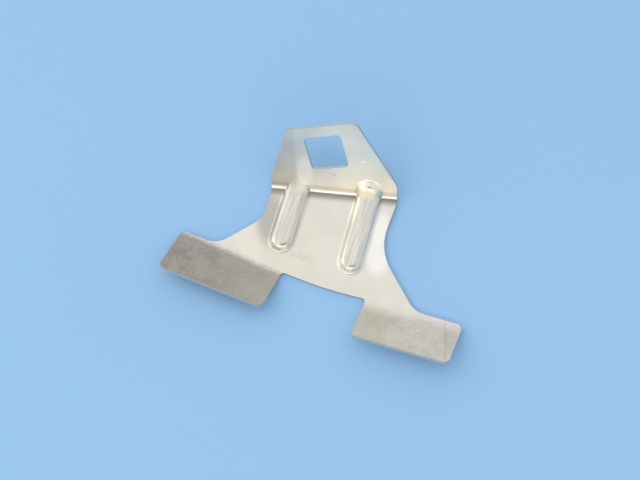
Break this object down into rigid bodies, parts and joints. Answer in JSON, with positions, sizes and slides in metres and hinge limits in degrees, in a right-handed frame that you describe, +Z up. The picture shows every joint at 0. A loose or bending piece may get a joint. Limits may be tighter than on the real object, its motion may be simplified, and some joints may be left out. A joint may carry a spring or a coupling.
{
  "type": "stamped sheet bracket",
  "caption": "Stamped sheet-metal bracket: a waisted body with two pressed stiffening beads, an upper flange with a square hole folded up across them, and two spread feet bent up in front.",
  "frame": {"origin": "on the flat underside of the body, 14 mm in front of the middle of the upper fold line", "axes": "+Z up, square to the flat body; +X along the upper fold, towards the end with the longer bead; +Y back towards the folded-up flange"},
  "size_m": [0.1004, 0.071, 0.0259],
  "materials": {
    "bracket": "bare mill finish, satin on the body and flange, dull and mottled on the feet"
  },
  "bodies": {
    "root": {"bracket": "bracket"}
  },
  "joints": []
}
